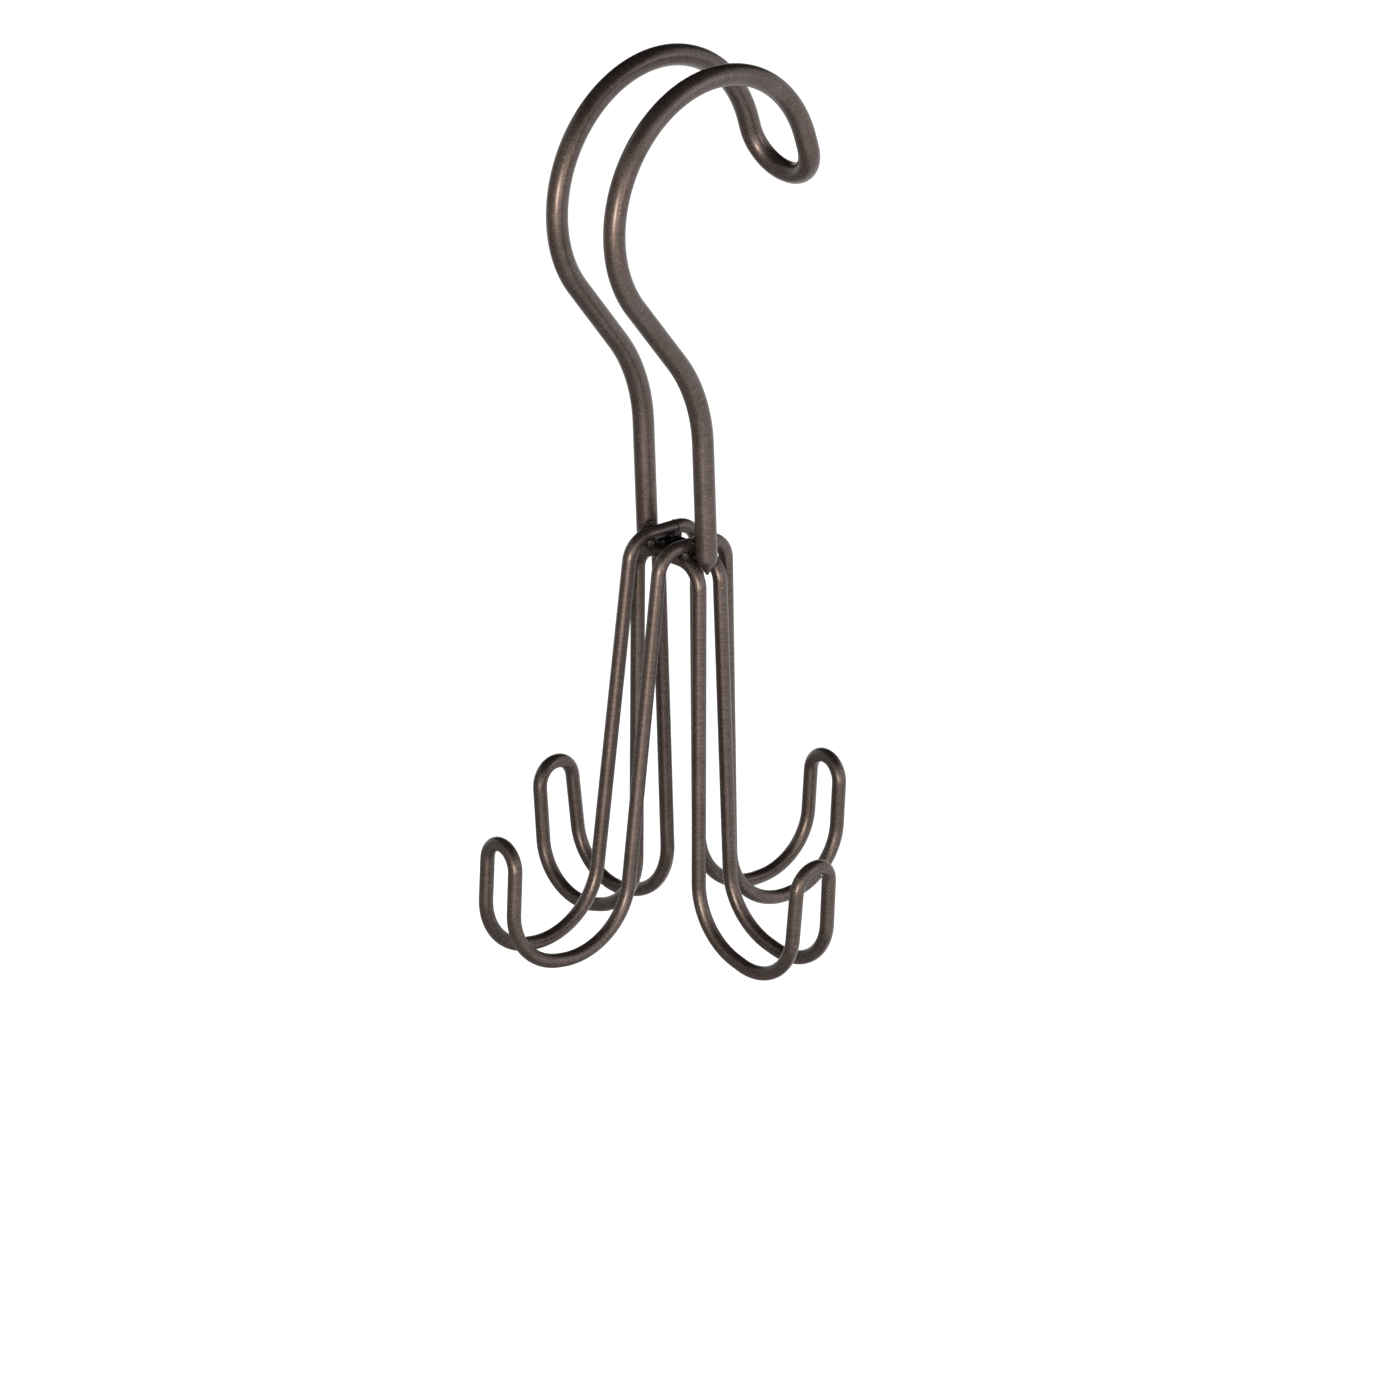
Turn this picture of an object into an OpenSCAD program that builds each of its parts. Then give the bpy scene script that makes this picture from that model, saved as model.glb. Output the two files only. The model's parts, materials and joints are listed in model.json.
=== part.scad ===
// Tie hanger of bent steel wire: a doubled hook for a closet rod, and two closed rings
// of thinner wire, crossed and welded under it, that make four accessory hooks.
// Origin: the highest point inside the rod hook, where the closet rod carries it.
// +Z is up, the rod runs along Y, and the rod hook opens towards +X.

/* [Wire] */
// Diameter of the rod hook's wire
rod_wire = 6; // [4.5:0.1:7]
// Diameter of the rings' wire
ring_wire = 4; // [3:0.1:5]
// Gap between the rings' crossed bars, and between the rod hook and the lower ring under it
weld_gap = 0.1; // [0.05:0.05:0.3]

/* [Rod hook] */
// Inside radius of the arch that goes over the rod
arch_inner_r = 33; // [24:0.5:42]
// Depth of the neck's corner under the rod seat
neck_depth = 85.8; // [80:0.1:110]
// How far the neck's corner stands back from the lower ends
neck_back = 2; // [0:0.1:8]
// Bend radius of the neck
neck_r = 46.7; // [20:0.1:55]
// Height above the arch's centre at which the arch ends, as an angle
mouth_angle = 17.3; // [0:0.1:30]
// Straight run between the arch and the tip's round end
tip_run = 2.8; // [0.5:0.1:12]
// Bend radius of the tip's corners
tip_r = 11; // [6:0.5:11]
// Radius of the blunt point at each lower end
point_r = 0.4; // [0.3:0.1:1.5]
// How far round the lower ring's bend the ends' taper lets them sink, as an angle
foot_sink = 6; // [0:1:8]

// How much closer together its two runs stand at the arch than at the crown, each
run_spread = 0.6; // [0:0.1:1]
// How far its lower ends stand back from the crown's middle
foot_back = 0.6; // [0:0.1:1.2]
// Gap between each run and the upper ring's bar beside it
rod_gap = 0.35; // [0.1:0.05:0.6]

/* [Crown] */
// Depth of the upper ring's bars under the rod seat
crown_depth = 131.5; // [120:0.5:160]
// How far the crown stands back from the middle of the arch
crown_back = 2.3; // [0:0.1:10]
// Bend radius where a ring's bars turn down into legs
crown_r = 7; // [5:0.5:8]

/* [Upper ring] */
// Distance between the upper ring's two bars
upper_width = 12.9; // [12:0.1:18]
// Distance between its two pairs of legs at the crown
upper_span = 22.5; // [20:0.1:30]
// Distance between the two legs where they bend into the hook
upper_leg_width = 14.5; // [12:0.1:20]
// Distance between the two wires at the hook's outer corner
upper_heel_width = 13; // [12:0.1:20]
// Distance between the two wires at the hook's tip
upper_tip_width = 12.6; // [10:0.2:18]
// Length of the legs, from the bars to the hook's inner corner
upper_leg = 116; // [100:1:130]
// Depth of the hook's outer corner under the bars
upper_heel = 114.9; // [100:0.1:130]
// Distance from the legs out to the hook's outer corner
upper_reach = 37.7; // [34:0.1:50]
// Distance from the legs out to the hook's tip
upper_tip_reach = 40.2; // [34:0.2:54]
// Depth of the hook's tip under the bars
upper_tip = 80.9; // [60:0.1:90]
// Bend radius of the hook's inner corner
upper_inner_r = 20; // [10:0.5:20]
// Bend radius of the hook's outer corner
upper_outer_r = 17.5; // [8:0.5:17.5]
// Outward splay of the hook on the side of the arch's back
upper_splay_back = 7.1; // [0:0.1:12]
// Outward splay of the hook on the side of the arch's mouth
upper_splay_mouth = 0.8; // [0:0.1:12]
// Turn of the ring on the crown, seen from above
upper_turn = -5.4; // [-8:0.1:8]

/* [Lower ring] */
// Distance between the lower ring's two bars
lower_width = 7.8; // [7.4:0.2:9.4]
// Distance between its two pairs of legs at the crown
lower_span = 23.4; // [23:0.2:30]
// Distance between the two legs where they bend into the hook
lower_leg_width = 13.1; // [9:0.1:20]
// Distance between the two wires at the hook's outer corner
lower_heel_width = 14.7; // [10:0.1:20]
// Distance between the two wires at the hook's tip
lower_tip_width = 12.6; // [10:0.2:18]
// Length of the legs, from the bars to the hook's inner corner
lower_leg = 109; // [95:1:125]
// Depth of the hook's outer corner under the bars
lower_heel = 118.1; // [100:0.1:130]
// Distance from the legs out to the hook's outer corner
lower_reach = 34.7; // [32:0.1:50]
// Distance from the legs out to the hook's tip
lower_tip_reach = 38.2; // [32:0.2:54]
// Depth of the far hook's tip under the bars
lower_tip = 78.3; // [60:0.1:90]
// How much lower the near hook's tip ends
lower_tip_drop = 1.5; // [0:0.1:4]
// Bend radius of the hook's inner corner
lower_inner_r = 19.5; // [10:0.5:19.5]
// Bend radius of the hook's outer corner
lower_outer_r = 15.7; // [8:0.1:17]
// Outward splay of the hook on the far side of the crown
lower_splay_far = -0.7; // [-6:0.1:8]
// Outward splay of the hook on the near side of the crown
lower_splay_near = 1.2; // [-6:0.1:8]
// Turn of the ring on the crown, seen from above
lower_turn = 2.4; // [-8:0.1:8]

/* [Welds] */
// How far the beads at the crossings stand out past the rings' wires
bead = 0.3; // [0.2:0.1:0.8]
// Radius of the beads over the upper ring's bars, against the rod hook
notch_bead_r = 1; // [0.8:0.1:1.4]
// Width of the raised seam where a ring's wire is butt welded
seam_width = 0.9; // [0.5:0.1:2]
// Height of that seam above the wire
seam_height = 0.12; // [0.05:0.01:0.3]
// Distance of the seam from the middle of the bar, towards the ring's first hook
seam_offset = 3.7; // [0:0.1:3.7]

/* [Hidden] */
$fn = 48;
// Sides of a wire's skin, and the bend radius above which its stations stand closer
sides = 16;
fine_bend = 15;
// Straight piece left between two bends of a tip
least_straight = 0.1;
// Angle at which a pointed end's skin starts, and how many stations its round shoulder has
blunt_angle = 75;
shoulder_steps = 4;
// Share of the gap between touching wires that stays free round a bead, and that room
room_share = 0.4;
bead_room = room_share * weld_gap;
bronze = [0.29, 0.25, 0.22];
weld_colour = [0.2, 0.18, 0.16];
arch_r = arch_inner_r + rod_wire / 2;
arch_z = -arch_inner_r;
crown_x = -crown_back;
upper_z = -crown_depth;
lower_z = upper_z - ring_wire - weld_gap;
// The rod hook's two runs stand just outside the upper ring's bars
rod_y = upper_width / 2 + ring_wire / 2 + rod_wire / 2 + rod_gap;
arch_y = rod_y - run_spread;
foot_x = crown_x - foot_back;
// The rod hook's lower ends taper to a cone that touches the lower ring's bends. Ball_angle is
// where an untapered round end would touch them, and the taper lets it sink past that
bend_y = lower_span / 2 - crown_r;
bend_z = lower_z - crown_r;
seat_r = rod_wire / 2 + ring_wire / 2 + weld_gap;
groove_half = lower_width / 2 - rod_y * sin(abs(lower_turn)) - foot_back;
seat_out = sqrt(seat_r * seat_r - groove_half * groove_half);
ball_angle = acos((rod_y - bend_y) / (crown_r + seat_out));
seat_angle = ball_angle - foot_sink;
seat_y = rod_y - bend_y - crown_r * cos(seat_angle);
seat_across = norm([groove_half, seat_y]);
foot_lean = atan(tan(seat_angle) * seat_y / seat_across);
cone_r = seat_across / cos(foot_lean) - ring_wire / 2 - weld_gap;
foot_z = bend_z + crown_r * sin(seat_angle) + seat_across * tan(foot_lean)
    + (rod_wire / 2 - cone_r) / sin(foot_lean);

function unit(v) = v / norm(v);
function corner(a, v, b) = acos(unit(a - v) * unit(b - v));
function wrap(list, i) = list[(i + len(list)) % len(list)];

// Stations round the bend of radius r that replaces the corner v between a and b: place and heading
function bend(a, v, b, r) =
    let (into = unit(v - a),
         half = corner(a, v, b) / 2,
         turn = acos(into * unit(b - v)),
         middle = v + unit(unit(a - v) + unit(b - v)) * r / sin(half),
         out = unit(v + unit(a - v) * r / tan(half) - middle),
         steps = ceil(turn / (r > fine_bend ? 8 : 15)))
    [for (k = [0 : steps]) let (t = turn * k / steps)
        [middle + r * (cos(t) * out + sin(t) * into), cos(t) * into - sin(t) * out]];

// Stations along a closed wire, and along one with two ends
function closed_path(p, r) =
    [for (i = [0 : len(p) - 1]) each bend(wrap(p, i - 1), p[i], wrap(p, i + 1), r[i])];
function open_path(p, r) =
    [for (i = [1 : len(p) - 2]) each bend(p[i - 1], p[i], p[i + 1], r[i])];

// A direction across the wire at each station, carried along it without twist
function across(stations) =
    [for (i = 0, n = unit(cross(stations[0][1], [0.3, 0.5, 0.8]));
          i < len(stations);
          i = i + 1, n = i < len(stations) ? unit(n - (n * stations[i][1]) * stations[i][1]) : n) n];

// The small turn left over where a closed wire meets its start
function leftover(stations, normals) =
    let (t = stations[0][1],
         last = normals[len(normals) - 1],
         n = unit(last - (last * t) * t))
    atan2(cross(n, normals[0]) * t, n * normals[0]);

// The points of the wire's skin: a circle of sides points round each station
function skin(stations, radii, normals, spare) =
    [for (i = [0 : len(stations) - 1])
        let (t = stations[i][1], n = normals[i], m = cross(t, n), twist = spare * i / len(stations))
        for (k = [0 : sides - 1])
            let (a = 360 * k / sides + twist)
            stations[i][0] + radii[i] * (cos(a) * n + sin(a) * m)];

function band(i, j) =
    [for (k = [0 : sides - 1]) let (l = (k + 1) % sides)
        each [[i * sides + k, j * sides + k, j * sides + l], [i * sides + k, j * sides + l, i * sides + l]]];

module closed_wire(p, r, d) {
    stations = closed_path(p, r);
    n = len(stations);
    normals = across(stations);
    polyhedron(skin(stations, [for (s = stations) d / 2], normals, leftover(stations, normals)),
               [for (i = [0 : n - 1]) each band(i, (i + 1) % n)]);
}

// Stations of a bluntly pointed end, from the point back: how far out each one is, and its radius
function pointed_end(r, lean) =
    concat([for (a = [blunt_angle, (blunt_angle + lean) / 2, lean])
               [(r - point_r) / sin(lean) + point_r * sin(a), point_r * cos(a)]],
           [for (k = [0 : shoulder_steps]) let (a = lean * (1 - k / shoulder_steps))
               [r * sin(a), r * cos(a)]]);

// A wire with two pointed ends
module open_wire(p, r, d, lean) {
    path = open_path(p, r);
    head = unit(p[1] - p[0]);
    tail = unit(p[len(p) - 1] - p[len(p) - 2]);
    end = pointed_end(d / 2, lean);
    last = len(end) - 1;
    stations = concat([for (e = end) [p[0] - head * e[0], head]],
                      path,
                      [for (k = [last : -1 : 0]) [p[len(p) - 1] + tail * end[k][0], tail]]);
    radii = concat([for (e = end) e[1]],
                   [for (s = path) d / 2],
                   [for (k = [last : -1 : 0]) end[k][1]]);
    n = len(stations);
    polyhedron(skin(stations, radii, across(stations), 0),
               concat([for (i = [0 : n - 2]) each band(i, i + 1)],
                      [[for (k = [0 : sides - 1]) k]],
                      [[for (k = [sides - 1 : -1 : 0]) (n - 1) * sides + k]]));
}

// Rod hook: corners of one run, from the crown up, then the tip, then the other run down
neck = [foot_x - neck_back, -neck_depth];
to_arch = [0, arch_z] - neck;
rise_angle = atan2(to_arch[1], to_arch[0]) + asin(arch_r / norm(to_arch));
arch_start = rise_angle + 90;
arch_turn = arch_start - mouth_angle;
arch_steps = 4;
arch_step = arch_turn / arch_steps;
arch_corner_r = arch_r / cos(arch_step / 2);
function arch_corner(k) = [for (a = [arch_start - (k + 0.5) * arch_step])
    [arch_corner_r * cos(a), arch_z + arch_corner_r * sin(a)]][0];
mouth = [arch_r * cos(mouth_angle), arch_z + arch_r * sin(mouth_angle)];
tip_reach = tip_run + arch_y + least_straight;
tip = mouth + tip_reach * [sin(mouth_angle), -cos(mouth_angle)];
run_path = concat([[foot_x, foot_z], neck], [for (k = [0 : arch_steps - 1]) arch_corner(k)], [tip]);
run_radii = concat([0, neck_r], [for (k = [0 : arch_steps - 1]) arch_r], [tip_r]);
last_corner = len(run_path) - 1;
function run_corner(k, side) = [run_path[k][0], side * (k > 1 ? arch_y : rod_y), run_path[k][1]];
rod_path = concat([for (k = [0 : last_corner]) run_corner(k, 1)],
                  [for (k = [last_corner : -1 : 0]) run_corner(k, -1)]);
rod_radii = concat(run_radii, [for (k = [last_corner : -1 : 0]) run_radii[k]]);

module rod_hook() {
    color(bronze)
        open_wire(rod_path, rod_radii, rod_wire, foot_lean);
}

// A point of a hook, out from the leg and down along it, splayed outward about the bar's end
function splayed(out, down, splay, span) =
    [span / 2 + out * cos(splay) + down * sin(splay), out * sin(splay) - down * cos(splay)];

// A hook's corners along one wire, from the bar's end to the tip: width, place and bend radius
function hook_corners(side, span, widths, places, splay) =
    [for (k = [0 : 3]) [for (q = [splayed(places[k][0], places[k][1], splay, span)])
        [q[0], side * widths[k] / 2, q[1]]][0]];

// A ring's corners, all the way round: out along one wire of a hook and back along the other.
// Places and splays hold one entry for each of its two hooks
function ring_corners(span, widths, places, splays) = concat(
    hook_corners(1, span, widths, places[0], splays[0]),
    [for (k = [3 : -1 : 0]) hook_corners(-1, span, widths, places[0], splays[0])[k]],
    [for (q = hook_corners(-1, span, widths, places[1], splays[1])) [-q[0], q[1], q[2]]],
    [for (k = [3 : -1 : 0]) for (q = [hook_corners(1, span, widths, places[1], splays[1])[k]])
        [-q[0], q[1], q[2]]]);

function ring_radii(inner_r, outer_r, end_r) =
    [for (half = [0, 1]) each [crown_r, inner_r, outer_r, end_r, end_r, outer_r, inner_r, crown_r]];

// Places along a hook's wires, out from the leg and down from the bars
function hook_places(leg, reach, heel, tip_reach, tip) = [[0, 0], [0, leg], [reach, heel], [tip_reach, tip]];

upper_widths = [upper_width, upper_leg_width, upper_heel_width, upper_tip_width];
upper_places = hook_places(upper_leg, upper_reach, upper_heel, upper_tip_reach, upper_tip);
lower_widths = [lower_width, lower_leg_width, lower_heel_width, lower_tip_width];
far_places = hook_places(lower_leg, lower_reach, lower_heel, lower_tip_reach, lower_tip);
near_places = hook_places(lower_leg, lower_reach, lower_heel, lower_tip_reach, lower_tip + lower_tip_drop);

module place_upper() {
    translate([crown_x, 0, upper_z])
        rotate([0, 0, upper_turn])
        children();
}

module place_lower() {
    translate([crown_x, 0, lower_z])
        rotate([0, 0, 90 + lower_turn])
        children();
}

module upper_ring() {
    color(bronze)
        place_upper()
        closed_wire(ring_corners(upper_span, upper_widths, [upper_places, upper_places],
                                 [upper_splay_mouth, upper_splay_back]),
                    ring_radii(upper_inner_r, upper_outer_r, upper_tip_width / 2 - least_straight),
                    ring_wire);
}

module lower_ring() {
    color(bronze)
        place_lower()
        closed_wire(ring_corners(lower_span, lower_widths, [far_places, near_places],
                                 [lower_splay_far, lower_splay_near]),
                    ring_radii(lower_inner_r, lower_outer_r, lower_tip_width / 2 - least_straight),
                    ring_wire);
}

// Room that the weld metal leaves round a wire
module clear_of_wire(length, d) {
    cylinder(d = d + 2 * bead_room, h = length, center = true);
}

// Where a line of the upper ring and one of the lower ring cross, from each line's distance off
// the crown's middle
function crossing(upper_off, lower_off) =
    (lower_off * [cos(upper_turn), sin(upper_turn)] + upper_off * [-sin(lower_turn), cos(lower_turn)])
        / cos(upper_turn - lower_turn);

// A bead at each place where the rings' bars cross, between the upper bar and the lower one
module crossing_welds() {
    color(weld_colour)
        difference() {
            for (x = [-1, 1], y = [-1, 1])
                translate([crown_x, 0, (upper_z + lower_z) / 2])
                translate(crossing(y * upper_width / 2, x * lower_width / 2))
                sphere(r = ring_wire / 2 + bead);
            for (y = [-1, 1])
                place_upper()
                translate([0, y * upper_width / 2, 0])
                rotate([0, 90, 0])
                clear_of_wire(upper_span, ring_wire);
            for (x = [-1, 1])
                place_lower()
                translate([0, x * lower_width / 2, 0])
                rotate([0, 90, 0])
                clear_of_wire(lower_span, ring_wire);
        }
}

// Beads in the notches over the upper ring's bars, against each run of the rod hook
notch_out = rod_wire / 2 + notch_bead_r + bead_room;
function run_to_bar(side) = rod_y * cos(upper_turn) + side * foot_back * sin(upper_turn) - upper_width / 2;
function notch_up(side) =
    sqrt(pow(ring_wire / 2 + notch_bead_r + bead_room, 2) - pow(run_to_bar(side) - notch_out, 2));

// Beads in the pockets under those bars, between the lower ring's bars and against the rod hook:
// as large as the pocket lets them be, or smaller where the beads at the crossings need the room
crossing_reach = ring_wire / 2 + bead + bead_room;
pocket_bead_r = min((lower_width - ring_wire) / 2 - bead_room,
                    (pow(lower_width / 2, 2) / crossing_reach - crossing_reach) / 2);
pocket_y = rod_y - rod_wire / 2 - pocket_bead_r - bead_room;
pocket_to_bar = pocket_y * cos(upper_turn - lower_turn) - upper_width / 2;
pocket_down = sqrt(pow(ring_wire / 2 + pocket_bead_r + bead_room, 2) - pow(pocket_to_bar, 2));

module hook_welds() {
    color(weld_colour)
        for (side = [-1, 1]) {
            translate([foot_x, side * rod_y, upper_z + notch_up(side)])
                rotate([0, 0, upper_turn])
                translate([0, -side * notch_out, 0])
                sphere(r = notch_bead_r);
            place_lower()
                translate([side * pocket_y, 0, upper_z - lower_z - pocket_down])
                sphere(r = pocket_bead_r);
        }
}

// The thin raised seam where each ring's wire meets itself, on one of its bars
module seam(width) {
    translate([seam_offset, width / 2, 0])
        rotate([0, 90, 0])
        difference() {
            cylinder(d = ring_wire + 2 * seam_height, h = seam_width, center = true);
            cylinder(d = ring_wire + bead_room, h = 2 * seam_width, center = true);
        }
}

module ring_seams() {
    color(weld_colour) {
        place_upper() seam(upper_width);
        place_lower() seam(lower_width);
    }
}

rod_hook();
upper_ring();
lower_ring();
crossing_welds();
hook_welds();
ring_seams();
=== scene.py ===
import json
import math

import bpy
import numpy as np
from mathutils import Matrix, Vector

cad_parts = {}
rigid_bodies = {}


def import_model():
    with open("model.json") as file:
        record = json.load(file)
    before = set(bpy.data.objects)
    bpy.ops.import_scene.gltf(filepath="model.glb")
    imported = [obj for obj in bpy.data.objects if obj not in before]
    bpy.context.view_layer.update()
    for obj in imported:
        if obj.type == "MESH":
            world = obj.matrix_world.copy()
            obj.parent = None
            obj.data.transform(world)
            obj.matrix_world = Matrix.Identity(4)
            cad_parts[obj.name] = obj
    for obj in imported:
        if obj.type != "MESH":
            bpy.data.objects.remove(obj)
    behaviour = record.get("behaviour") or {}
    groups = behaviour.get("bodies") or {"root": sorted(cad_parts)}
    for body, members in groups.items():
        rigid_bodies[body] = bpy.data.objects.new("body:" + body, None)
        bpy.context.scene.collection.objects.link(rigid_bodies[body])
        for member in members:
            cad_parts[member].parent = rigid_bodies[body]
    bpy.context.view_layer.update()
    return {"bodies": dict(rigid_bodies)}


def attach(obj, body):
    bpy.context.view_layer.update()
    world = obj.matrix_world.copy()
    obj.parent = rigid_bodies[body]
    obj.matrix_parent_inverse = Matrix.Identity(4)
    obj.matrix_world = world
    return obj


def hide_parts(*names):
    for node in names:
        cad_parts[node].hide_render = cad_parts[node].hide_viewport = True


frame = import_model()
bodyName = list(frame["bodies"])[0]
mm = 0.001


# Small tools

def unit(v):
    return v / np.linalg.norm(v, axis=-1, keepdims=True)


def hexColour(text):
    # sRGB hex to linear, as the shader sockets want it
    s = np.array([int(text[k:k + 2], 16) / 255 for k in (1, 3, 5)])
    linear = np.where(s <= 0.04045, s / 12.92, ((s + 0.055) / 1.055) ** 2.4)
    return (*linear, 1.0)


def addNode(tree, kind, settings=None, inputs=None, links=None):
    # settings are the node's own fields, inputs its constants, links its sockets fed by other nodes
    node = tree.nodes.new(kind)
    for name, value in (settings or {}).items():
        setattr(node, name, value)
    for name, value in (inputs or {}).items():
        node.inputs[name].default_value = value
    for name, source in (links or {}).items():
        tree.links.new(source, node.inputs[name])
    return node


def newTree(holder):
    holder.use_nodes = True
    holder.node_tree.nodes.clear()
    return holder.node_tree


def rampNode(tree, factor, stops):
    ramp = addNode(tree, "ShaderNodeValToRGB", links={"Fac": factor})
    for k, (place, colour) in enumerate(stops):
        stop = ramp.color_ramp.elements[k] if k < 2 else ramp.color_ramp.elements.new(place)
        stop.position = place
        stop.color = hexColour(colour)
    return ramp.outputs["Color"]


# Wire paths: each wire is a row of corners, and a bend of its own radius replaces each corner

def bendPoints(before, corner, after, radius, spacing):
    # centre + radius * (cos(t) * outward + sin(t) * heading), from one tangent point to the other
    heading = unit(corner - before)
    back, onward = unit(before - corner), unit(after - corner)
    half = math.acos(np.clip(back @ onward, -1, 1)) / 2
    turn = math.pi - 2 * half
    centre = corner + unit(back + onward) * radius / math.sin(half)
    outward = unit(corner + back * radius / math.tan(half) - centre)
    t = np.linspace(0, turn, max(3, int(turn * radius / spacing) + 1))[:, None]
    return centre + radius * (np.cos(t) * outward + np.sin(t) * heading)


def fillStraights(points, spacing, closed):
    # adds stations along the straights, none further apart than spacing
    nexts = np.roll(points, -1, 0) if closed else points[1:]
    starts = points if closed else points[:-1]
    gaps = np.linalg.norm(nexts - starts, axis=1)
    counts = np.maximum(1, np.ceil(gaps / spacing)).astype(int)
    parts = [a + (b - a) * np.linspace(0, 1, n, endpoint=False)[:, None]
             for a, b, n in zip(starts, nexts, counts)]
    return np.vstack(parts if closed else parts + [points[-1:]])


def pathOf(corners, radii, spacing, closed):
    corners = np.array(corners, float)
    n = len(corners)
    inner = range(n) if closed else range(1, n - 1)
    bends = [bendPoints(corners[k - 1], corners[k], corners[(k + 1) % n], radii[k], spacing)
             for k in inner]
    if not closed:
        bends = [corners[:1]] + bends + [corners[-1:]]
    points = np.vstack(bends)
    # bends that meet without a straight share a station, which is kept once
    apart = np.linalg.norm(np.diff(points, axis=0), axis=1) > leastStepMm
    return fillStraights(points[np.append(True, apart)], spacing, closed)


def tangents(points, closed):
    if closed:
        return unit(np.roll(points, -1, 0) - np.roll(points, 1, 0))
    return unit(np.gradient(points, axis=0))


# A direction that no wire ever runs along, so that its cross product with a heading never fails
steadyDirection = np.array([0.7, 0.68, 0.22])
leastStepMm = 0.01    # stations closer than this count as one


def tubeGrid(points, radii, sides, closed):
    # point + radius * (cos(a) * across + sin(a) * over): a circle carried along the path
    along = tangents(points, closed)
    across = unit(np.cross(along, steadyDirection))
    over = np.cross(along, across)
    a = np.linspace(0, 2 * math.pi, sides, endpoint=False)[None, :, None]
    spoke = np.cos(a) * across[:, None] + np.sin(a) * over[:, None]
    grid = points[:, None] + radii[:, None, None] * spoke
    # the same skin with the wire pulled straight: the finish's lines and flakes are laid out on it
    steps = np.linalg.norm(np.diff(points, axis=0), axis=1)
    far = np.concatenate([[0], np.cumsum(steps)])[:, None, None]
    straight = np.concatenate(np.broadcast_arrays(
        radii[:, None, None] * np.cos(a), radii[:, None, None] * np.sin(a), far), axis=2)
    return grid, straight.reshape(-1, 3)


def makePiece(name, points, faces, material, replaced, straight=None):
    mesh = bpy.data.meshes.new(name)
    mesh.from_pydata((points * mm).tolist(), [], faces)
    if straight is not None:
        laidOut = mesh.attributes.new("straightWire", "FLOAT_VECTOR", "POINT")
        laidOut.data.foreach_set("vector", (straight * mm).ravel())
    mesh.polygons.foreach_set("use_smooth", [True] * len(mesh.polygons))
    mesh.materials.append(material)
    mesh.update()
    piece = bpy.data.objects.new(name, mesh)
    bpy.context.scene.collection.objects.link(piece)
    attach(piece, bodyName)
    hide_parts(replaced)


def bandFaces(rings, sides, closed, first=0):
    # quads between each ring of points and the next, wound so that they face outwards
    i = np.arange(rings if closed else rings - 1)[:, None]
    k = np.arange(sides)[None, :]
    j, m = (i + 1) % rings, (k + 1) % sides
    quads = np.stack(np.broadcast_arrays(i * sides + k, i * sides + m, j * sides + m, j * sides + k), -1)
    return (quads.reshape(-1, 4) + first).tolist()


# Materials

finish = {
    "flakeMm": 0.32,        # size of the lacquer's metal flakes, drawn coarser than real so they show
    "glintMm": 0.5,         # size and spacing of the sparse gold glints
    "mottleMm": 9.0,        # size of the slow shade changes from dipping
    "lineMm": 0.35,         # spacing of the faint lines that drawing left across the wire
    "lineStretch": 0.12,    # how much longer a line is round the wire than it is wide
    "paintedShadeMiddle": (-2.0, 1.5, -136.5), "paintedShadeMm": (4.5, 7.5),   # painted shade: the metal is darkened round this middle among the crown's welds, where the crevices between the wires fall into shade
    # painted shade: how much of the darkening colour is laid on at the middle, and that colour
    "paintedShadeShare": 0.9, "paintedShade": "#0B0A0A",
    "grainDark": "#BAB6B4", "lineDark": "#E2DAD8", "glint": "#A08766", "glintShare": 0.7,
    "metallic": 0.85, "coat": 0.2, "coatRoughness": 0.25,
    "bump": 0.25, "bumpMm": 0.02,
}


def noiseOf(tree, place, sizeMm, detail):
    noise = addNode(tree, "ShaderNodeTexNoise", links={"Vector": place}, inputs={
        "Scale": 1 / (sizeMm * mm), "Detail": detail, "Roughness": 0.55})
    return noise.outputs["Fac"]


def mixedColour(tree, blend, first, second, share):
    # second and share are each a socket or a constant
    node = addNode(tree, "ShaderNodeMix", {"data_type": "RGBA", "blend_type": blend}, links={6: first})
    for socket, value in ((7, second), (0, share)):
        if isinstance(value, bpy.types.NodeSocket):
            tree.links.new(value, node.inputs[socket])
        else:
            node.inputs[socket].default_value = value
    return node.outputs[2]


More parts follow.
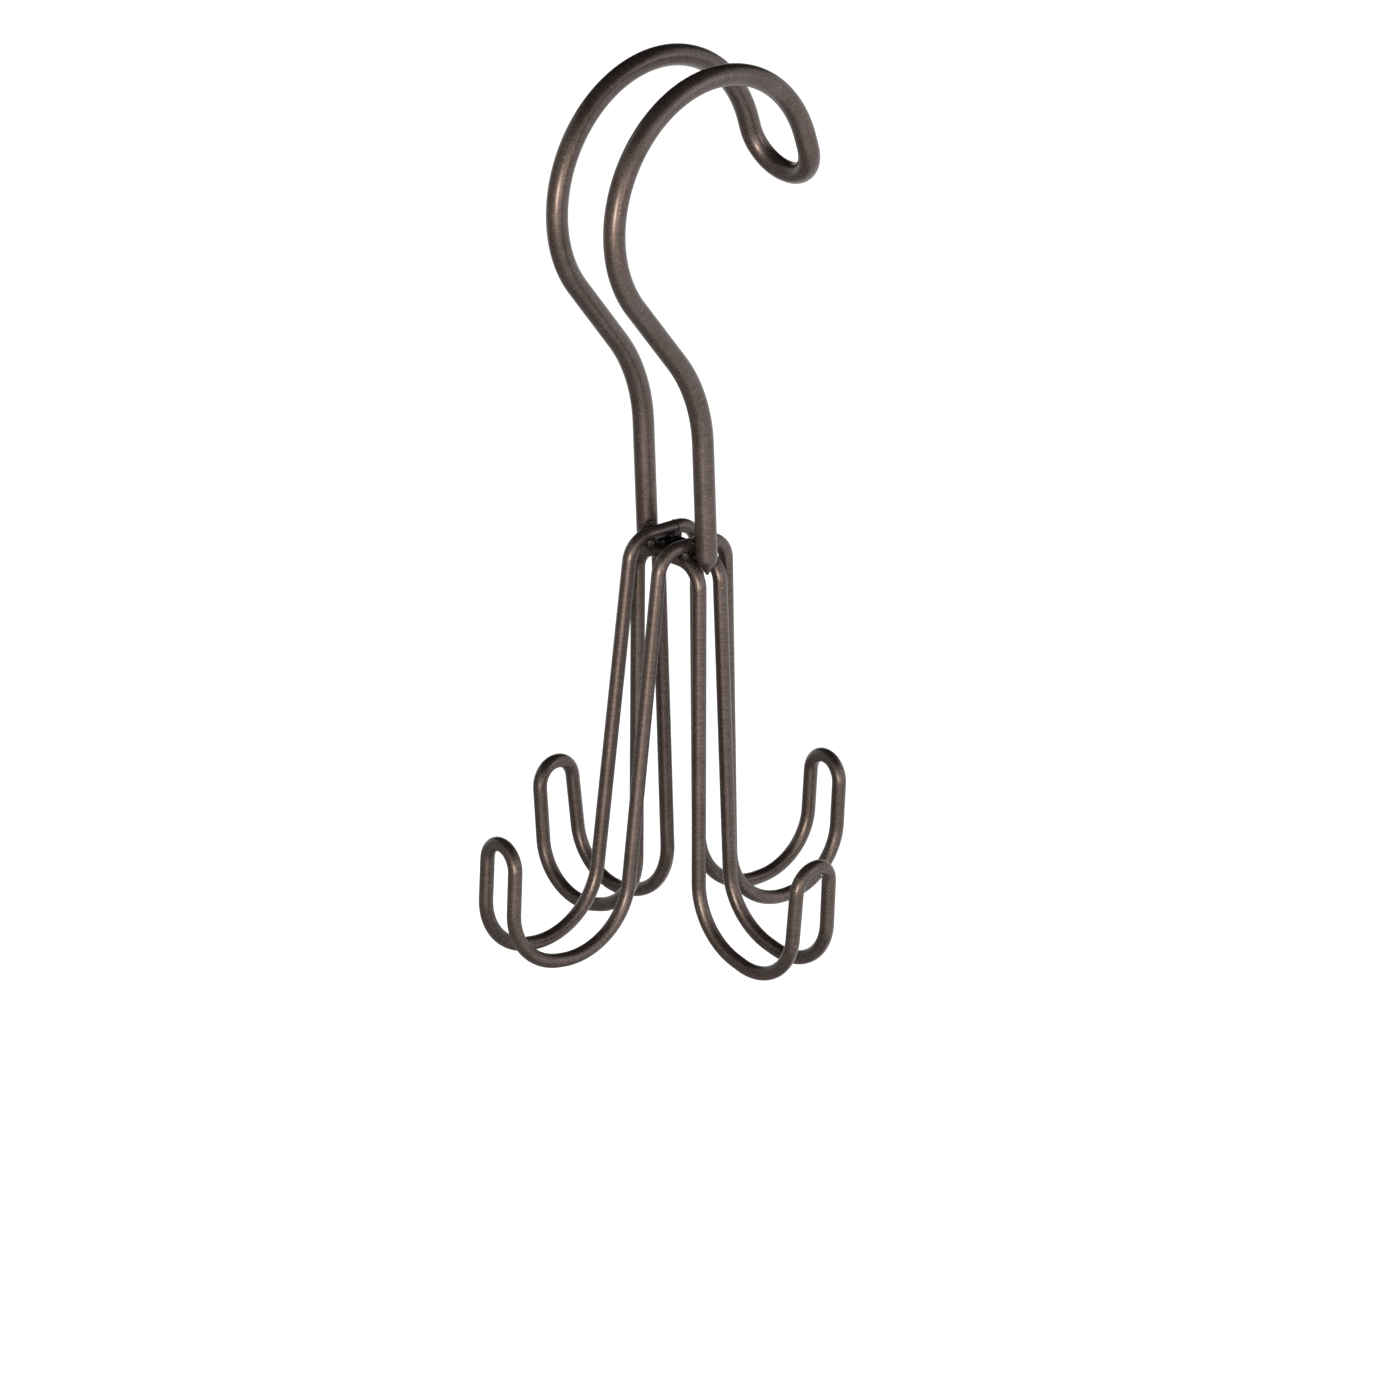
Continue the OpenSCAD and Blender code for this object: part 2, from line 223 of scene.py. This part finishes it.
def lacquer(name, shades, roughness, wire):
    # Oil-rubbed bronze lacquer baked on steel: dark brown metal with a soft warm highlight. The
    # mottle gives slow shade changes, the flakes fine light and dark grain, the lines the faint
    # cross grain of drawn wire, and the thin coat a second, sharper gleam
    material = bpy.data.materials.new(name)
    tree = newTree(material)
    body = addNode(tree, "ShaderNodeTexCoord").outputs["Object"]
    place = body
    if wire:
        place = addNode(tree, "ShaderNodeAttribute", {"attribute_name": "straightWire"}).outputs["Vector"]
    flakes = noiseOf(tree, place, finish["flakeMm"], 2.0)
    mottle = noiseOf(tree, place, finish["mottleMm"], 3.0)
    colour = rampNode(tree, mottle, [(0.3, shades[0]), (0.7, shades[1])])
    grain = rampNode(tree, flakes, [(0.33, finish["grainDark"]), (0.68, "#FFFFFF")])
    colour = mixedColour(tree, "MULTIPLY", colour, grain, 1.0)
    glints = addNode(tree, "ShaderNodeMapRange", inputs={
        "From Min": 0.64, "From Max": 0.74, "To Max": finish["glintShare"]},
        links={"Value": noiseOf(tree, place, finish["glintMm"], 2.0)})
    colour = mixedColour(tree, "MIX", colour, hexColour(finish["glint"]), glints.outputs["Result"])
    if wire:
        narrow = addNode(tree, "ShaderNodeVectorMath", {"operation": "MULTIPLY"}, links={0: place})
        narrow.inputs[1].default_value = (finish["lineStretch"], finish["lineStretch"], 1)
        lines = noiseOf(tree, narrow.outputs[0], finish["lineMm"], 1.0)
        lines = rampNode(tree, lines, [(0.3, finish["lineDark"]), (0.6, "#FFFFFF")])
        colour = mixedColour(tree, "MULTIPLY", colour, lines, 1.0)
    # painted shade: the metal round the welds is darkened, where the crevices between the wires fall into
    # shade
    away = addNode(tree, "ShaderNodeVectorMath", {"operation": "DISTANCE"}, links={0: body})
    away.inputs[1].default_value = [c * mm for c in finish["paintedShadeMiddle"]]
    paintedShade = addNode(tree, "ShaderNodeMapRange", inputs={
        "From Min": finish["paintedShadeMm"][0] * mm, "From Max": finish["paintedShadeMm"][1] * mm,
        "To Min": finish["paintedShadeShare"], "To Max": 0.0}, links={"Value": away.outputs["Value"]})
    colour = mixedColour(tree, "MIX", colour, hexColour(finish["paintedShade"]), paintedShade.outputs["Result"])
    rough = addNode(tree, "ShaderNodeMapRange", inputs={
        "From Min": 0.3, "From Max": 0.7, "To Min": roughness[0], "To Max": roughness[1]},
        links={"Value": flakes})
    bump = addNode(tree, "ShaderNodeBump", links={"Height": flakes}, inputs={
        "Strength": finish["bump"], "Distance": finish["bumpMm"] * mm})
    shader = addNode(tree, "ShaderNodeBsdfPrincipled", inputs={
        "Metallic": finish["metallic"], "Coat Weight": finish["coat"],
        "Coat Roughness": finish["coatRoughness"]},
        links={"Base Color": colour, "Roughness": rough.outputs["Result"], "Normal": bump.outputs["Normal"]})
    addNode(tree, "ShaderNodeOutputMaterial", links={"Surface": shader.outputs["BSDF"]})
    return material


bronze = lacquer("oilRubbedBronzeLacquer", ("#5A5049", "#645A58"), (0.32, 0.42), True)
weldMetal = lacquer("lacqueredWeldMetal", ("#2A2523", "#37302D"), (0.24, 0.34), False)
print("materials made")


# Rod hook: one thick wire, bent double over the closet rod

rodHook = {
    "wire": 6.0, "archInnerR": 33.0, "neckDepth": 85.8, "neckBack": 2.0, "neckR": 46.7,
    "mouthAngle": 17.3, "tipRun": 2.8, "tipR": 11.0, "pointR": 0.4, "footSink": 6.0,
    "runSpread": 0.6, "footBack": 0.6, "gap": 0.35, "leastStraight": 0.1, "archSteps": 4, "sides": 40,
    "spacing": 0.9,
}
crown = {"depth": 131.5, "back": 2.3, "bendR": 7.0, "gap": 0.1, "wire": 4.0}
upperRing = {
    "width": 12.9, "span": 22.5, "legWidth": 14.5, "heelWidth": 13.0, "tipWidth": 12.6,
    "leg": 116.0, "heel": 114.9, "reach": 37.7, "tipReach": 40.2, "tips": (80.9, 80.9),
    "innerR": 20.0, "outerR": 17.5, "splays": (0.8, 7.1), "turn": -5.4,
    "level": -crown["depth"], "seamOffset": 3.7, "sides": 36, "spacing": 0.7,
}
lowerRing = {
    "width": 7.8, "span": 23.4, "legWidth": 13.1, "heelWidth": 14.7, "tipWidth": 12.6,
    "leg": 109.0, "heel": 118.1, "reach": 34.7, "tipReach": 38.2, "tips": (78.3, 79.8),
    "innerR": 19.5, "outerR": 15.7, "splays": (-0.7, 1.2), "turn": 92.4,
    "level": -crown["depth"] - crown["wire"] - crown["gap"], "seamOffset": 3.7, "sides": 36, "spacing": 0.7,
}
rodY = upperRing["width"] / 2 + crown["wire"] / 2 + rodHook["wire"] / 2 + rodHook["gap"]
bendY = lowerRing["span"] / 2 - crown["bendR"]
bendZ = lowerRing["level"] - crown["bendR"]
seatR = rodHook["wire"] / 2 + crown["wire"] / 2 + crown["gap"]
grooveHalf = (lowerRing["width"] / 2 - rodY * math.sin(math.radians(lowerRing["turn"] - 90))
              - rodHook["footBack"])
seatOut = math.sqrt(seatR ** 2 - grooveHalf ** 2)
# the ends taper to a cone that touches the lower ring's bends this far round them
seatAngle = math.acos((rodY - bendY) / (crown["bendR"] + seatOut)) - math.radians(rodHook["footSink"])
seatY = rodY - bendY - crown["bendR"] * math.cos(seatAngle)
seatAcross = math.hypot(grooveHalf, seatY)
footLean = math.atan(math.tan(seatAngle) * seatY / seatAcross)
coneR = seatAcross / math.cos(footLean) - crown["wire"] / 2 - crown["gap"]
footZ = (bendZ + crown["bendR"] * math.sin(seatAngle) + seatAcross * math.tan(footLean)
         + (rodHook["wire"] / 2 - coneR) / math.sin(footLean))


def rodCorners():
    # one run's corners in its own plane, from the foot up to the tip
    p = rodHook
    archR = p["archInnerR"] + p["wire"] / 2
    centre = np.array([0, -p["archInnerR"]])
    foot = np.array([-crown["back"] - p["footBack"], footZ])
    neck = np.array([foot[0] - p["neckBack"], -p["neckDepth"]])
    toArch = centre - neck
    rise = math.atan2(toArch[1], toArch[0]) + math.asin(archR / np.linalg.norm(toArch))
    start, end = rise + math.pi / 2, math.radians(p["mouthAngle"])
    steps = p["archSteps"]
    step = (start - end) / steps
    angles = start - (np.arange(steps) + 0.5) * step
    arch = centre + archR / math.cos(step / 2) * np.stack([np.cos(angles), np.sin(angles)], 1)
    mouth = centre + archR * np.array([math.cos(end), math.sin(end)])
    reach = p["tipRun"] + rodY - p["runSpread"] + p["leastStraight"]
    tip = mouth + reach * np.array([math.sin(end), -math.cos(end)])
    corners = np.vstack([foot, neck, arch, tip])
    return corners, [0, p["neckR"]] + [archR] * steps + [p["tipR"]]


def rodPath():
    flat, radii = rodCorners()
    y = np.full(len(flat), rodY)
    y[2:] -= rodHook["runSpread"]
    far = np.stack([flat[:, 0], y, flat[:, 1]], 1)
    near = far[::-1] * [1, -1, 1]
    return pathOf(np.vstack([far, near]), radii + radii[::-1], rodHook["spacing"], False)


def ringPath(p):
    widths = np.array([p["width"], p["legWidth"], p["heelWidth"], p["tipWidth"]])
    out = np.array([0, 0, p["reach"], p["tipReach"]])

    def hook(end, outward, side):
        s = math.radians(p["splays"][end])
        down = np.array([0, p["leg"], p["heel"], p["tips"][end]])
        x = p["span"] / 2 + out * math.cos(s) + down * math.sin(s)
        z = out * math.sin(s) - down * math.cos(s)
        return np.stack([outward * x, side * widths / 2, z], 1)

    corners = np.vstack([hook(0, 1, 1), hook(0, 1, -1)[::-1], hook(1, -1, -1), hook(1, -1, 1)[::-1]])
    endR = p["tipWidth"] / 2 - rodHook["leastStraight"]
    oneWay = [crown["bendR"], p["innerR"], p["outerR"], endR]
    radii = (oneWay + oneWay[::-1]) * 2
    points = pathOf(corners, radii, p["spacing"], True)
    return placeRing(points, p)


def placeRing(points, p):
    t = math.radians(p["turn"])
    turned = np.array([[math.cos(t), -math.sin(t), 0], [math.sin(t), math.cos(t), 0], [0, 0, 1]])
    return points @ turned.T + [-crown["back"], 0, p["level"]]


def makeRodHook():
    points = rodPath()
    r, pointR = rodHook["wire"] / 2, rodHook["pointR"]
    # blunt points: a small ball's skin, a cone that leans in by footLean, then the wire's shoulder
    small = np.linspace(math.radians(86), footLean, 8)
    shoulder = np.linspace(footLean, 0, 10)[:-1]
    ballOut = (r - pointR) / math.sin(footLean) + pointR * np.sin(small)
    out = np.concatenate([ballOut, r * np.sin(shoulder)])
    closeIn = np.concatenate([pointR * np.cos(small), r * np.cos(shoulder)])
    headOut, tailOut = unit(points[0] - points[1]), unit(points[-1] - points[-2])
    head = points[0] + headOut * out[:, None]
    tail = points[-1] + tailOut * out[::-1, None]
    along = np.vstack([head, points, tail])
    radii = np.concatenate([closeIn, np.full(len(points), r), closeIn[::-1]])
    grid, straight = tubeGrid(along, radii, rodHook["sides"], False)
    n, sides = grid.shape[:2]
    faces = bandFaces(n, sides, False)
    faces += [list(range(sides))[::-1], list(range((n - 1) * sides, n * sides))]
    makePiece("rodHookWire", grid.reshape(-1, 3), faces, bronze, "rod_hook", straight)


def makeRing(name, p, node):
    points = ringPath(p)
    # the wire starts and ends at its butt weld
    butt = placeRing(np.array([[p["seamOffset"], p["width"] / 2, 0]]), p)
    points = np.roll(points, -int(np.argmin(np.linalg.norm(points - butt, axis=1))), 0)
    grid, straight = tubeGrid(points, np.full(len(points), crown["wire"] / 2), p["sides"], True)
    n, sides = grid.shape[:2]
    faces = bandFaces(n, sides, True)
    makePiece(name, grid.reshape(-1, 3), faces, bronze, node, straight)


makeRodHook()
makeRing("upperRingWire", upperRing, "upper_ring")
makeRing("lowerRingWire", lowerRing, "lower_ring")
print("wires made")

# Welds: lumpy beads fused to the wires that they join, and a raised seam round each ring's wire

welds = {
    "crossingR": 2.45,       # beads between the rings' bars
    "pocketR": 2.0,          # beads under the upper ring's bars, against the rod hook
    "notchR": 1.0,           # beads over those bars
    "notchAside": (-1.6, 0.6),   # how far they lie off the middle of the rod hook's wire
    "sunk": 0.1, "notchSunk": (0.5, 0.2),   # how far the beads sink into the wires
    # drops of spatter along a notch bead: place along it, height over the bar, radius
    "spatter": [(-1.5, 0.3, 0.45), (-0.7, 0.7, 0.4), (0.2, 0.6, 0.5), (0.9, 0.3, 0.4), (1.5, 0.2, 0.35)],
    "spatterIn": 0.4,        # how far the drops lie inward of the bead's middle
    "lump": 0.07,            # how uneven a bead is, as a share of its radius
    "seamRise": 0.14, "seamWidth": 0.5, "seamLength": 1.6, "seamSunk": 0.02, "seamSteps": 13, "seamSides": 36,
}


def beadPoints(centre, radius, squash, phase, rows=26, columns=36):
    # centre + radius * (1 + lump * three slow waves) * direction, on a ball's rows and columns
    up = np.linspace(0.04, math.pi - 0.04, rows)[:, None]
    round_ = np.linspace(0, -2 * math.pi, columns, endpoint=False)[None, :]
    x, y, z = np.broadcast_arrays(np.sin(up) * np.cos(round_), np.sin(up) * np.sin(round_), np.cos(up))
    d = np.stack([x, y, z], -1)
    wave = (np.sin(4.1 * x + 2.3 * z + phase) + np.sin(5.3 * y - 3.1 * x + 2 * phase)
            + 0.7 * np.sin(9.7 * z + 7.9 * y + 3 * phase))
    size = radius * (1 + welds["lump"] * wave / 2)
    return np.array(centre) + size[..., None] * d * np.array(squash)


def makeBeads(name, beads, node):
    points, faces, first = [], [], 0
    for centre, radius, squash, phase in beads:
        grid = beadPoints(centre, radius, squash, phase)
        rows, columns = grid.shape[:2]
        points.append(grid.reshape(-1, 3))
        faces += bandFaces(rows, columns, False, first)
        faces.append(list(range(first, first + columns))[::-1])
        faces.append(list(range(first + (rows - 1) * columns, first + rows * columns)))
        first += rows * columns
    makePiece(name, np.vstack(points), faces, weldMetal, node)


def crossing(upperOff, lowerOff):
    # where a line of the upper ring and one of the lower ring cross, from each line's distance
    # off the crown's middle
    u, v = math.radians(upperRing["turn"]), math.radians(lowerRing["turn"] - 90)
    at = lowerOff * np.array([math.cos(u), math.sin(u)]) + upperOff * np.array([-math.sin(v), math.cos(v)])
    return at / math.cos(u - v) - [crown["back"], 0]


def makeWelds():
    middle = (upperRing["level"] + lowerRing["level"]) / 2
    crossings = [((*crossing(y * upperRing["width"] / 2, x * lowerRing["width"] / 2), middle),
                  welds["crossingR"], (1, 1, 0.95), 1.7 * x + 2.9 * y) for x in (-1, 1) for y in (-1, 1)]
    makeBeads("crossingBeads", crossings, "crossing_welds")
    r = crown["wire"] / 2
    pocketY = rodY - rodHook["wire"] / 2 - welds["pocketR"] + welds["sunk"]
    notchY = rodY - rodHook["wire"] / 2 - welds["notchSunk"][0] + welds["notchAside"][1]
    barTop = upperRing["level"] + r
    notchX = -crown["back"] - rodHook["footBack"] + welds["notchAside"][0]
    hooks = []
    for side in (-1, 1):
        hooks.append(((*crossing(side * pocketY, 0), barTop - 2 * r - welds["pocketR"] + welds["sunk"]),
                      welds["pocketR"], (1.1, 1, 1), 0.8 + side))
        hooks.append(((notchX, side * notchY, barTop - welds["notchSunk"][1]),
                      welds["notchR"], (1.5, 0.8, 0.8), 2.1 * side))
        for k, (along, up, size) in enumerate(welds["spatter"]):
            drop = (notchX + along, side * (notchY - welds["spatterIn"]), barTop + up)
            hooks.append((drop, size, (1.2, 1, 0.9), k + side))
    makeBeads("hookBeads", hooks, "hook_welds")


def makeSeams():
    points, faces, first = [], [], 0
    n, sides = welds["seamSteps"], welds["seamSides"]
    for p in (upperRing, lowerRing):
        # a closed collar whose radius rises and falls as a bell curve along the bar
        x = np.linspace(-0.5, 0.5, n) * welds["seamLength"]
        centres = placeRing(np.stack([p["seamOffset"] + x, np.full(n, p["width"] / 2), np.zeros(n)], 1), p)
        bell = np.exp(-(x / (welds["seamWidth"] / 2)) ** 2)
        radii = crown["wire"] / 2 - welds["seamSunk"] + welds["seamRise"] * bell
        grid, _ = tubeGrid(centres, radii, sides, False)
        points.append(grid.reshape(-1, 3))
        faces += bandFaces(n, sides, False, first)
        last = first + (n - 1) * sides
        faces += [list(range(first, first + sides))[::-1], list(range(last, last + sides))]
        first += n * sides
    makePiece("ringSeams", np.vstack(points), faces, weldMetal, "ring_seams")


makeWelds()
makeSeams()
print("welds made")


# Camera: the photograph's angle, worked out in millimetres from the crown

photoView = {
    "azimuth": 43.48, "elevation": 23.94, "distance": 2000.0, "focalPixels": 7300.0, "imagePixels": 1400.0,
    "aside": -5.86, "above": 36.76, "origin": (-0.94, 1.43, -140.89),
}


def makeCamera():
    v = photoView
    a, e = math.radians(v["azimuth"]), math.radians(v["elevation"])
    forward = Vector((math.sin(a) * math.cos(e), math.cos(a) * math.cos(e), -math.sin(e)))
    right = Vector((math.cos(a), -math.sin(a), 0))
    up = right.cross(forward)
    place = Vector(v["origin"]) - right * v["aside"] - up * v["above"] - forward * v["distance"]
    camera = bpy.data.objects.new("photoCamera", bpy.data.cameras.new("photoCamera"))
    camera.data.sensor_width = 36.0
    camera.data.lens = v["focalPixels"] / v["imagePixels"] * camera.data.sensor_width
    camera.data.clip_end = 50.0
    turned = Matrix((right, up, -forward)).transposed().to_4x4()
    camera.matrix_world = Matrix.Translation(place * mm) @ turned
    bpy.context.scene.collection.objects.link(camera)
    bpy.context.scene.camera = camera


# Stage: a pale floor well under the hanger, a white surround, soft lamps, and two dark and two
# pale cards that only reflections see, as a studio sets them up to draw the edges of shiny wire

stageSizes = {
    "floorDepthM": 0.36, "floorM": 8.0, "floorGlow": 0.91, "floor": "#F2F2F2", "floorSeen": "#AAAAAA",
    "softGlow": 0.6,     # the white surround as a light on the hanger
    "seenGlow": 1.0,     # and as the camera and reflections see it
}
cards = [
    # name, centre in metres, width and height in metres, shade, whether it lies flat
    ("leftCard", (-0.75, 0.50, -0.05), (1.4, 0.9), "#C2C2C2", False),
    ("backCard", (0.50, 0.53, 0.62), (1.9, 1.4), "#262626", False),
    ("ceilingCard", (0.0, 0.0, 1.0), (2.4, 2.4), "#3E3E3E", False),
    ("lowCard", (-0.40, 0.23, -0.355), (0.9, 0.75), "#C2C2C2", True),
]
lamps = [
    # name, place in metres, size in metres, power in watts, colour
    ("keySoftbox", (-1.19, -0.94, -0.11), 0.36, 16.0, "#FFF1E2"),
    ("broadSoftbox", (-0.41, -1.45, -0.11), 0.7, 5.0, "#FFF3E8"),
    ("fillSoftbox", (0.75, -1.25, 0.15), 0.8, 3.2, "#EDE6FF"),
]
aimPoint = Vector((0, 0, -0.05))


def facing(place):
    return (aimPoint - Vector(place)).to_track_quat("-Z", "Y").to_euler()


def seenDirectly(tree):
    # 1 for the rays that should see the white surround: the camera's, reflected and transmitted ones
    rays = addNode(tree, "ShaderNodeLightPath")
    seen = addNode(tree, "ShaderNodeMath", {"operation": "MAXIMUM"},
                   links={0: rays.outputs["Is Camera Ray"], 1: rays.outputs["Is Glossy Ray"]})
    return addNode(tree, "ShaderNodeMath", {"operation": "MAXIMUM"},
                   links={0: seen.outputs[0], 1: rays.outputs["Is Transmission Ray"]}).outputs[0]


def makeFloor():
    s = stageSizes["floorM"] / 2
    mesh = bpy.data.meshes.new("floor")
    z = -stageSizes["floorDepthM"]
    mesh.from_pydata([(-s, -s, z), (s, -s, z), (s, s, z), (-s, s, z)], [], [(0, 1, 2, 3)])
    floor = bpy.data.objects.new("floor", mesh)
    bpy.context.scene.collection.objects.link(floor)
    material = bpy.data.materials.new("paleFloor")
    tree = newTree(material)
    plain = addNode(tree, "ShaderNodeBsdfDiffuse", inputs={"Color": hexColour(stageSizes["floor"])})
    shaded = addNode(tree, "ShaderNodeBsdfDiffuse", inputs={"Color": hexColour(stageSizes["floorSeen"])})
    glow = addNode(tree, "ShaderNodeEmission", inputs={
        "Color": hexColour("#FFFFFF"), "Strength": stageSizes["floorGlow"]})
    bright = addNode(tree, "ShaderNodeAddShader", links={0: shaded.outputs[0], 1: glow.outputs[0]})
    mixed = addNode(tree, "ShaderNodeMixShader",
                    links={0: seenDirectly(tree), 1: plain.outputs[0], 2: bright.outputs[0]})
    addNode(tree, "ShaderNodeOutputMaterial", links={"Surface": mixed.outputs[0]})
    mesh.materials.append(material)


def makeCard(name, place, size, shade, flat):
    w, h = size[0] / 2, size[1] / 2
    mesh = bpy.data.meshes.new(name)
    mesh.from_pydata([(-w, -h, 0), (w, -h, 0), (w, h, 0), (-w, h, 0)], [], [(0, 1, 2, 3)])
    card = bpy.data.objects.new(name, mesh)
    bpy.context.scene.collection.objects.link(card)
    card.location = place
    card.rotation_euler = (0, 0, 0) if flat else facing(place)
    card.visible_camera = False
    card.visible_shadow = False
    card.visible_diffuse = False
    material = bpy.data.materials.new(name)
    tree = newTree(material)
    felt = addNode(tree, "ShaderNodeBsdfDiffuse", inputs={"Color": hexColour(shade)})
    addNode(tree, "ShaderNodeOutputMaterial", links={"Surface": felt.outputs[0]})
    mesh.materials.append(material)


def makeLamp(name, place, size, power, colour):
    data = bpy.data.lights.new(name, "AREA")
    data.shape = "DISK"
    data.size = size
    data.energy = power
    data.color = hexColour(colour)[:3]
    lamp = bpy.data.objects.new(name, data)
    bpy.context.scene.collection.objects.link(lamp)
    lamp.location = place
    lamp.rotation_euler = facing(place)


def makeWorld():
    world = bpy.data.worlds.new("studio")
    bpy.context.scene.world = world
    tree = newTree(world)
    white = hexColour("#FFFFFF")
    soft = addNode(tree, "ShaderNodeBackground", inputs={"Color": white, "Strength": stageSizes["softGlow"]})
    seen = addNode(tree, "ShaderNodeBackground", inputs={"Color": white, "Strength": stageSizes["seenGlow"]})
    mixed = addNode(tree, "ShaderNodeMixShader",
                    links={0: seenDirectly(tree), 1: soft.outputs[0], 2: seen.outputs[0]})
    addNode(tree, "ShaderNodeOutputWorld", links={"Surface": mixed.outputs[0]})


makeFloor()
for card in cards:
    makeCard(*card)
for lamp in lamps:
    makeLamp(*lamp)
makeWorld()
makeCamera()
bpy.context.scene.view_settings.view_transform = "Standard"
print("stage, lamps and camera made")
